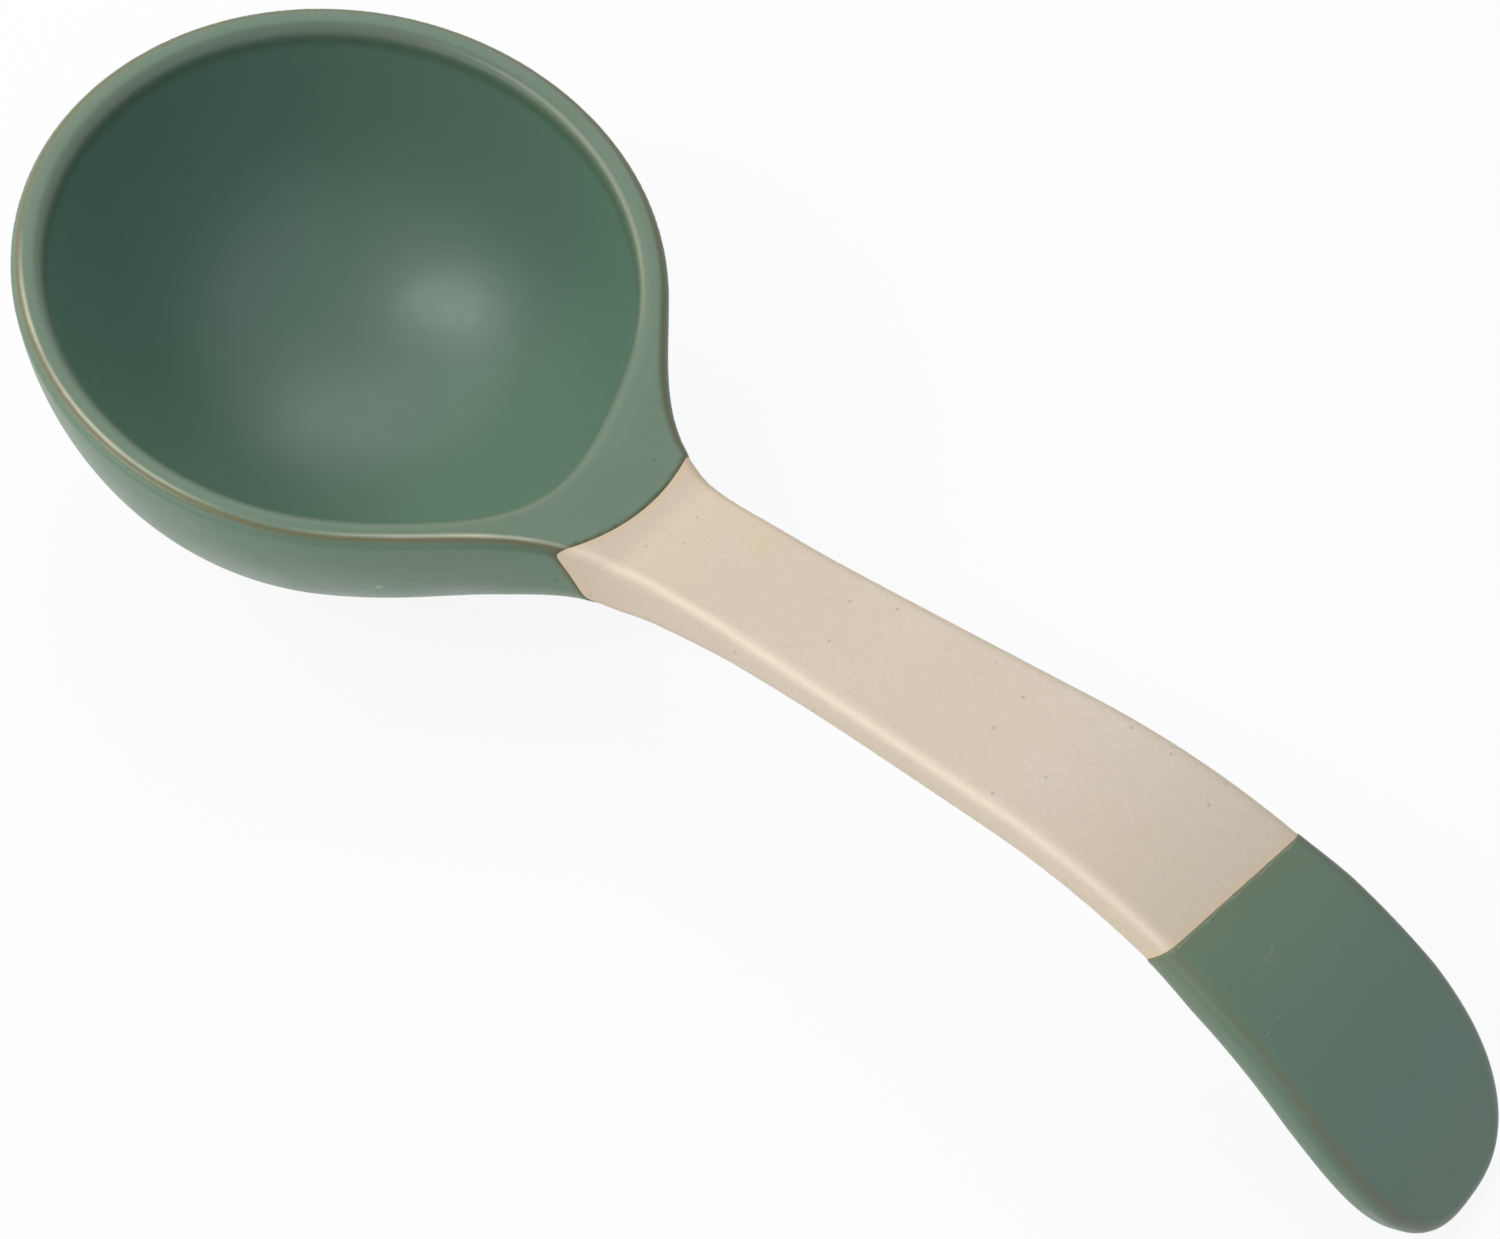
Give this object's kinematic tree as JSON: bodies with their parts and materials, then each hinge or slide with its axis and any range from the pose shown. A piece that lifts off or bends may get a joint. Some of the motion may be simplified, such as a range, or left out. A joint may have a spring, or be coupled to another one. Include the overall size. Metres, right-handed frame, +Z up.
{
  "type": "soup ladle",
  "caption": "Glazed stoneware soup ladle: a round open bowl with a flat arched handle that lifts, widens and dips to a rounded glazed end.",
  "frame": {"origin": "centre of the flat foot under the bowl, on the table the ladle lies on", "axes": "+X along the handle, away from the bowl; +Y across the handle; +Z up from the table"},
  "size_m": [0.2161, 0.083, 0.0484],
  "materials": {
    "clay": "bare fired stoneware, sandy",
    "slip": "dried and fired slip",
    "glaze": "satin green glaze"
  },
  "bodies": {
    "root": {"bowl": "clay", "handle": "clay", "slip_joint": "slip", "bowl_glaze": "glaze", "neck_glaze": "glaze", "tip_glaze": "glaze"}
  },
  "joints": []
}
